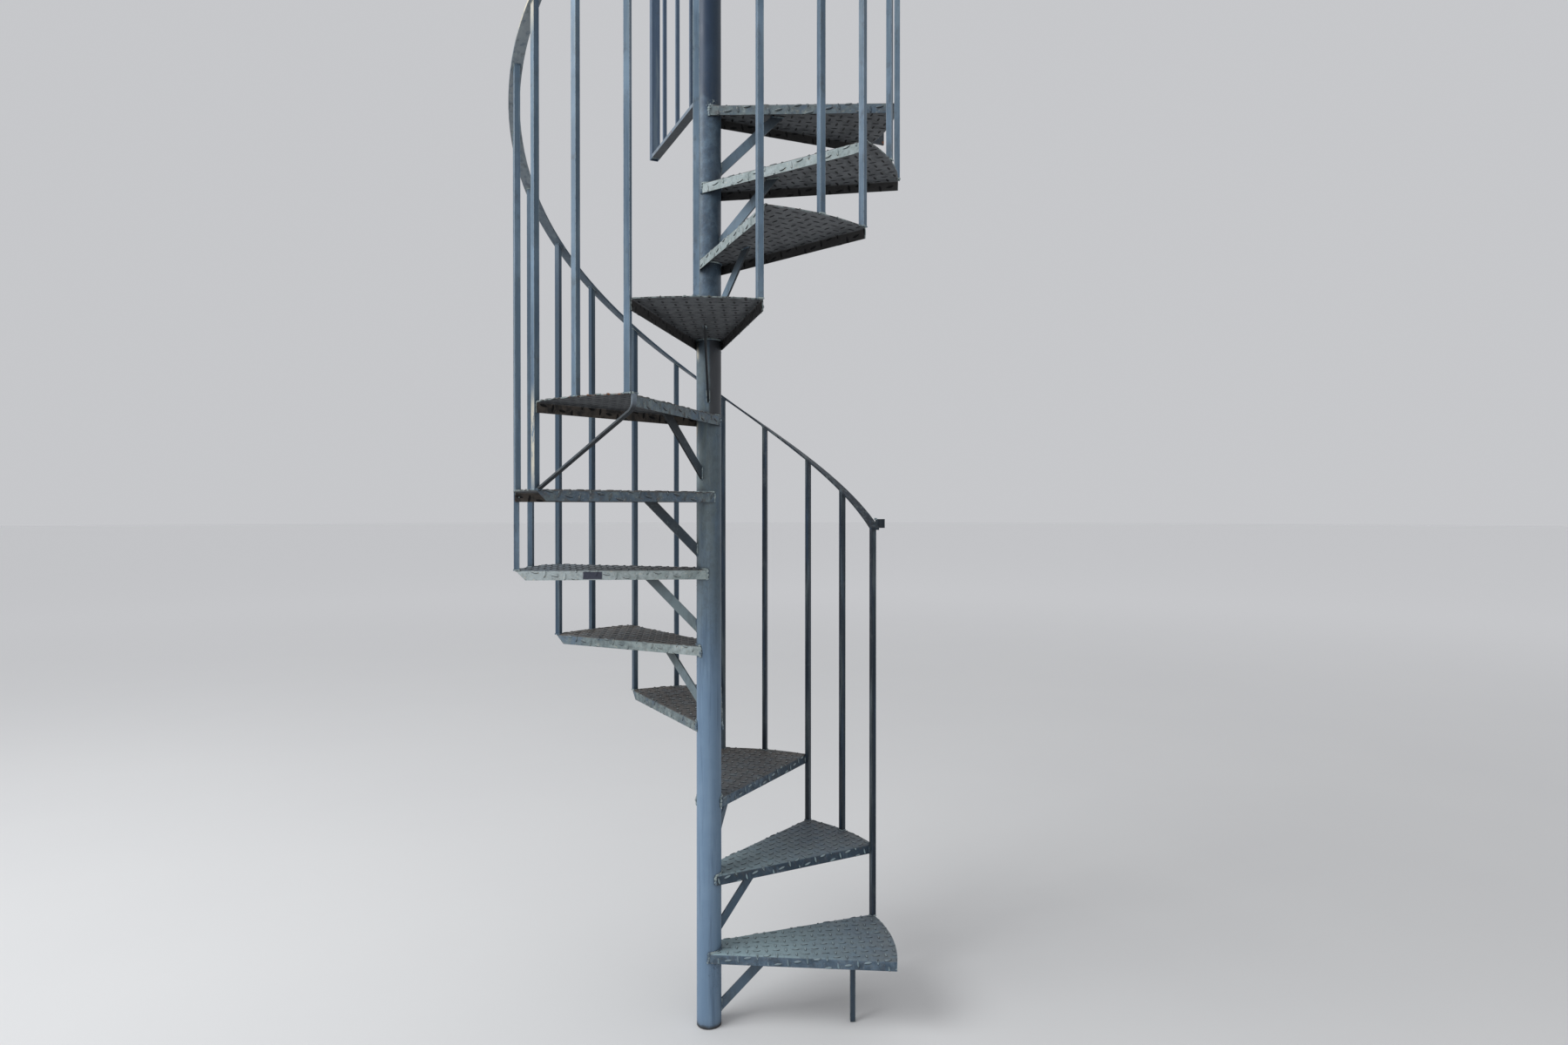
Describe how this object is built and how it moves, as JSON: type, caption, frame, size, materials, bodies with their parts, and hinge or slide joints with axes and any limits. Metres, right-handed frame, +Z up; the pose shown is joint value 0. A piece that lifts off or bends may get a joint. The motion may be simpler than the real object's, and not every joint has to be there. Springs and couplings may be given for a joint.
{
  "type": "spiral staircase",
  "caption": "Spiral staircase of folded checker plate treads on a centre pole, with square balusters, a flat helical handrail and a short landing guard",
  "frame": {"origin": "centre of the pole's foot, on the ground", "axes": "+Z up along the pole, +X towards the first tread's outer edge beside the wall, +Y away from the viewer; the stair climbs counter-clockwise seen from above"},
  "size_m": [1.181, 1.182, 3.962],
  "materials": {
    "blue_grey_paint": "weathered semi-matt blue-grey paint on steel, chipped, with small rust spots",
    "tread_plate": "worn blue-grey paint on embossed checker plate, with brown-grey dirt between the raised bars",
    "dark_steel_paint": "dark, dirty blue-grey paint on flat steel bars"
  },
  "bodies": {
    "root": {"centre_pole": "blue_grey_paint", "pole_foot": "dark_steel_paint", "pole_cap": "blue_grey_paint", "tread_01": "tread_plate", "tread_02": "tread_plate", "tread_03": "tread_plate", "tread_04": "tread_plate", "tread_05": "tread_plate", "tread_06": "tread_plate", "tread_07": "tread_plate", "tread_08": "tread_plate", "tread_09": "tread_plate", "tread_10": "tread_plate", "tread_11": "tread_plate", "tread_12": "tread_plate", "strut_01": "dark_steel_paint", "strut_02": "dark_steel_paint", "strut_03": "dark_steel_paint", "strut_04": "dark_steel_paint", "strut_05": "dark_steel_paint", "strut_06": "dark_steel_paint", "strut_07": "dark_steel_paint", "strut_08": "dark_steel_paint", "strut_09": "dark_steel_paint", "strut_10": "dark_steel_paint", "strut_11": "dark_steel_paint", "strut_12": "dark_steel_paint", "corner_balusters": "blue_grey_paint", "middle_balusters": "blue_grey_paint", "handrail": "blue_grey_paint", "handrail_wall_tie": "blue_grey_paint", "first_tread_leg": "blue_grey_paint", "bent_brace": "dark_steel_paint", "top_wall_bracket": "dark_steel_paint", "guard_bottom_rail": "dark_steel_paint", "guard_bars": "blue_grey_paint", "guard_top_rail": "blue_grey_paint", "guard_post": "blue_grey_paint"}
  },
  "joints": []
}
